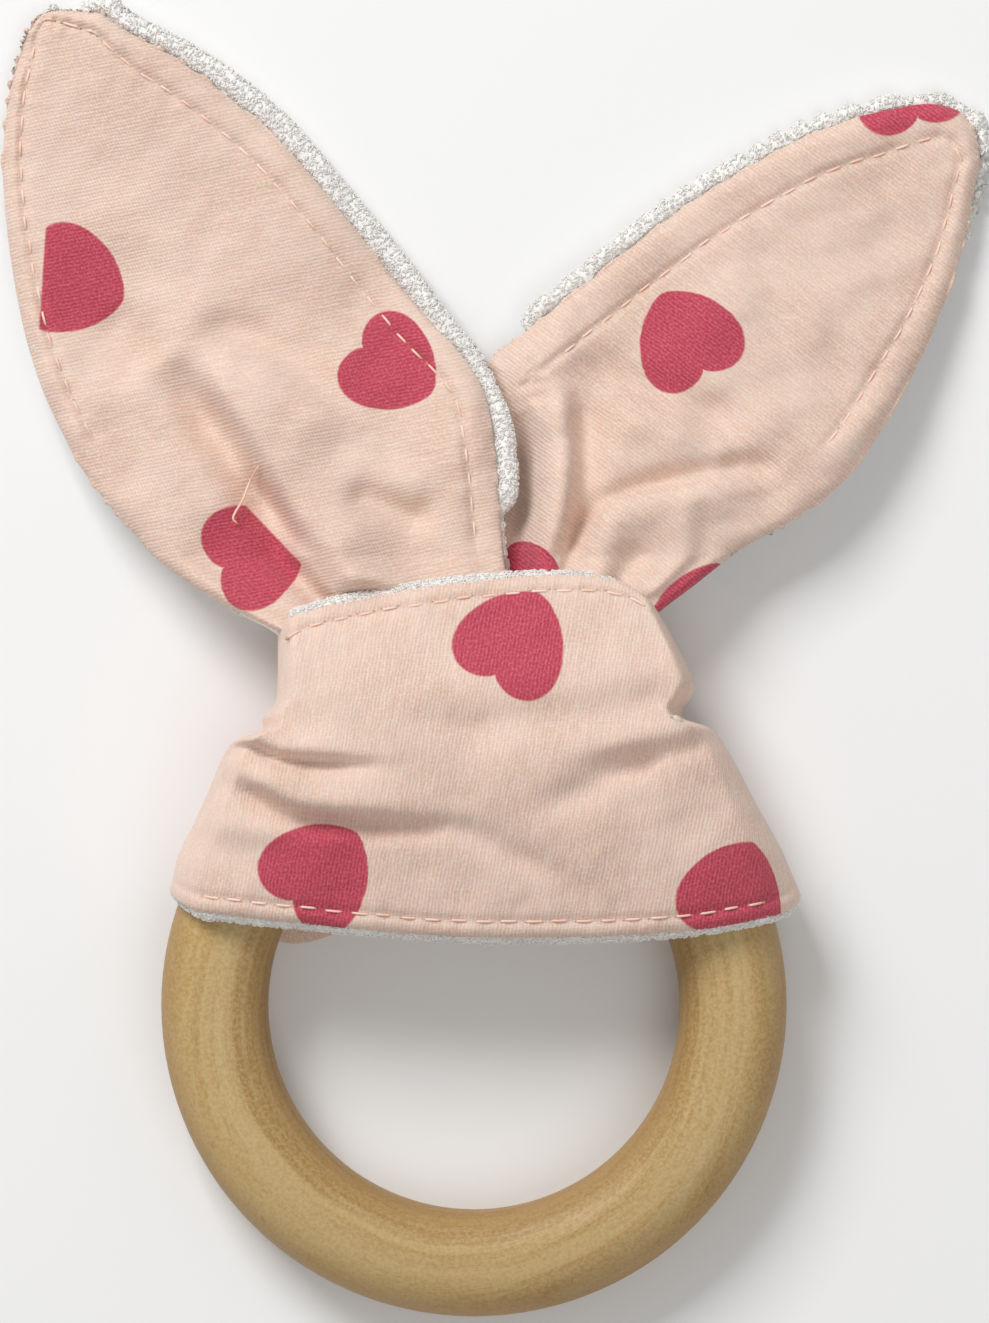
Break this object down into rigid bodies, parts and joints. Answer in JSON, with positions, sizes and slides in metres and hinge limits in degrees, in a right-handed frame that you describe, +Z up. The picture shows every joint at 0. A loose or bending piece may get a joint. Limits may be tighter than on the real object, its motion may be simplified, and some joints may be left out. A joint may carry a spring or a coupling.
{
  "type": "teething ring",
  "caption": "Wooden teething ring with a two-ply cloth strip hitched round it, a wide band in front and two pointed cloth ears that lift and flop.",
  "frame": {"origin": "middle of the whole toy's footprint, on the surface it lies on", "axes": "+Z up off the surface it lies on, +Y from the ring towards the ears, +X to the right seen from above"},
  "size_m": [0.1111, 0.1482, 0.0214],
  "materials": {
    "natural_wood": "satin",
    "printed_cotton": "matte",
    "white_terry": "matte",
    "sewing_thread": "satin"
  },
  "bodies": {
    "hitch": {"band_cotton": "printed_cotton", "band_terry": "white_terry", "left_wrap": "printed_cotton", "right_wrap": "printed_cotton", "left_tail": "printed_cotton", "right_tail": "printed_cotton", "band_stitching": "sewing_thread"},
    "ring": {"wooden_ring": "natural_wood"},
    "left_ear": {"left_ear_cotton": "printed_cotton", "left_ear_terry": "white_terry", "left_ear_stitching": "sewing_thread"},
    "right_ear": {"right_ear_cotton": "printed_cotton", "right_ear_terry": "white_terry", "right_ear_stitching": "sewing_thread"}
  },
  "joints": [
    {"name": "ring_turn", "type": "hinge", "parent": "hitch", "child": "ring", "pos_m": [-0.00235, -0.039, 0.00756], "axis": [0, -0.069, 0.9976], "continuous": true},
    {"name": "left_ear_flop", "type": "hinge", "parent": "hitch", "child": "left_ear", "pos_m": [-0.0124, 0.0106, 0.0134], "axis": [1, 0, 0], "range_deg": [0, 120]},
    {"name": "right_ear_flop", "type": "hinge", "parent": "hitch", "child": "right_ear", "pos_m": [0.008, 0.0106, 0.0134], "axis": [1, 0, 0], "range_deg": [0, 120]}
  ]
}
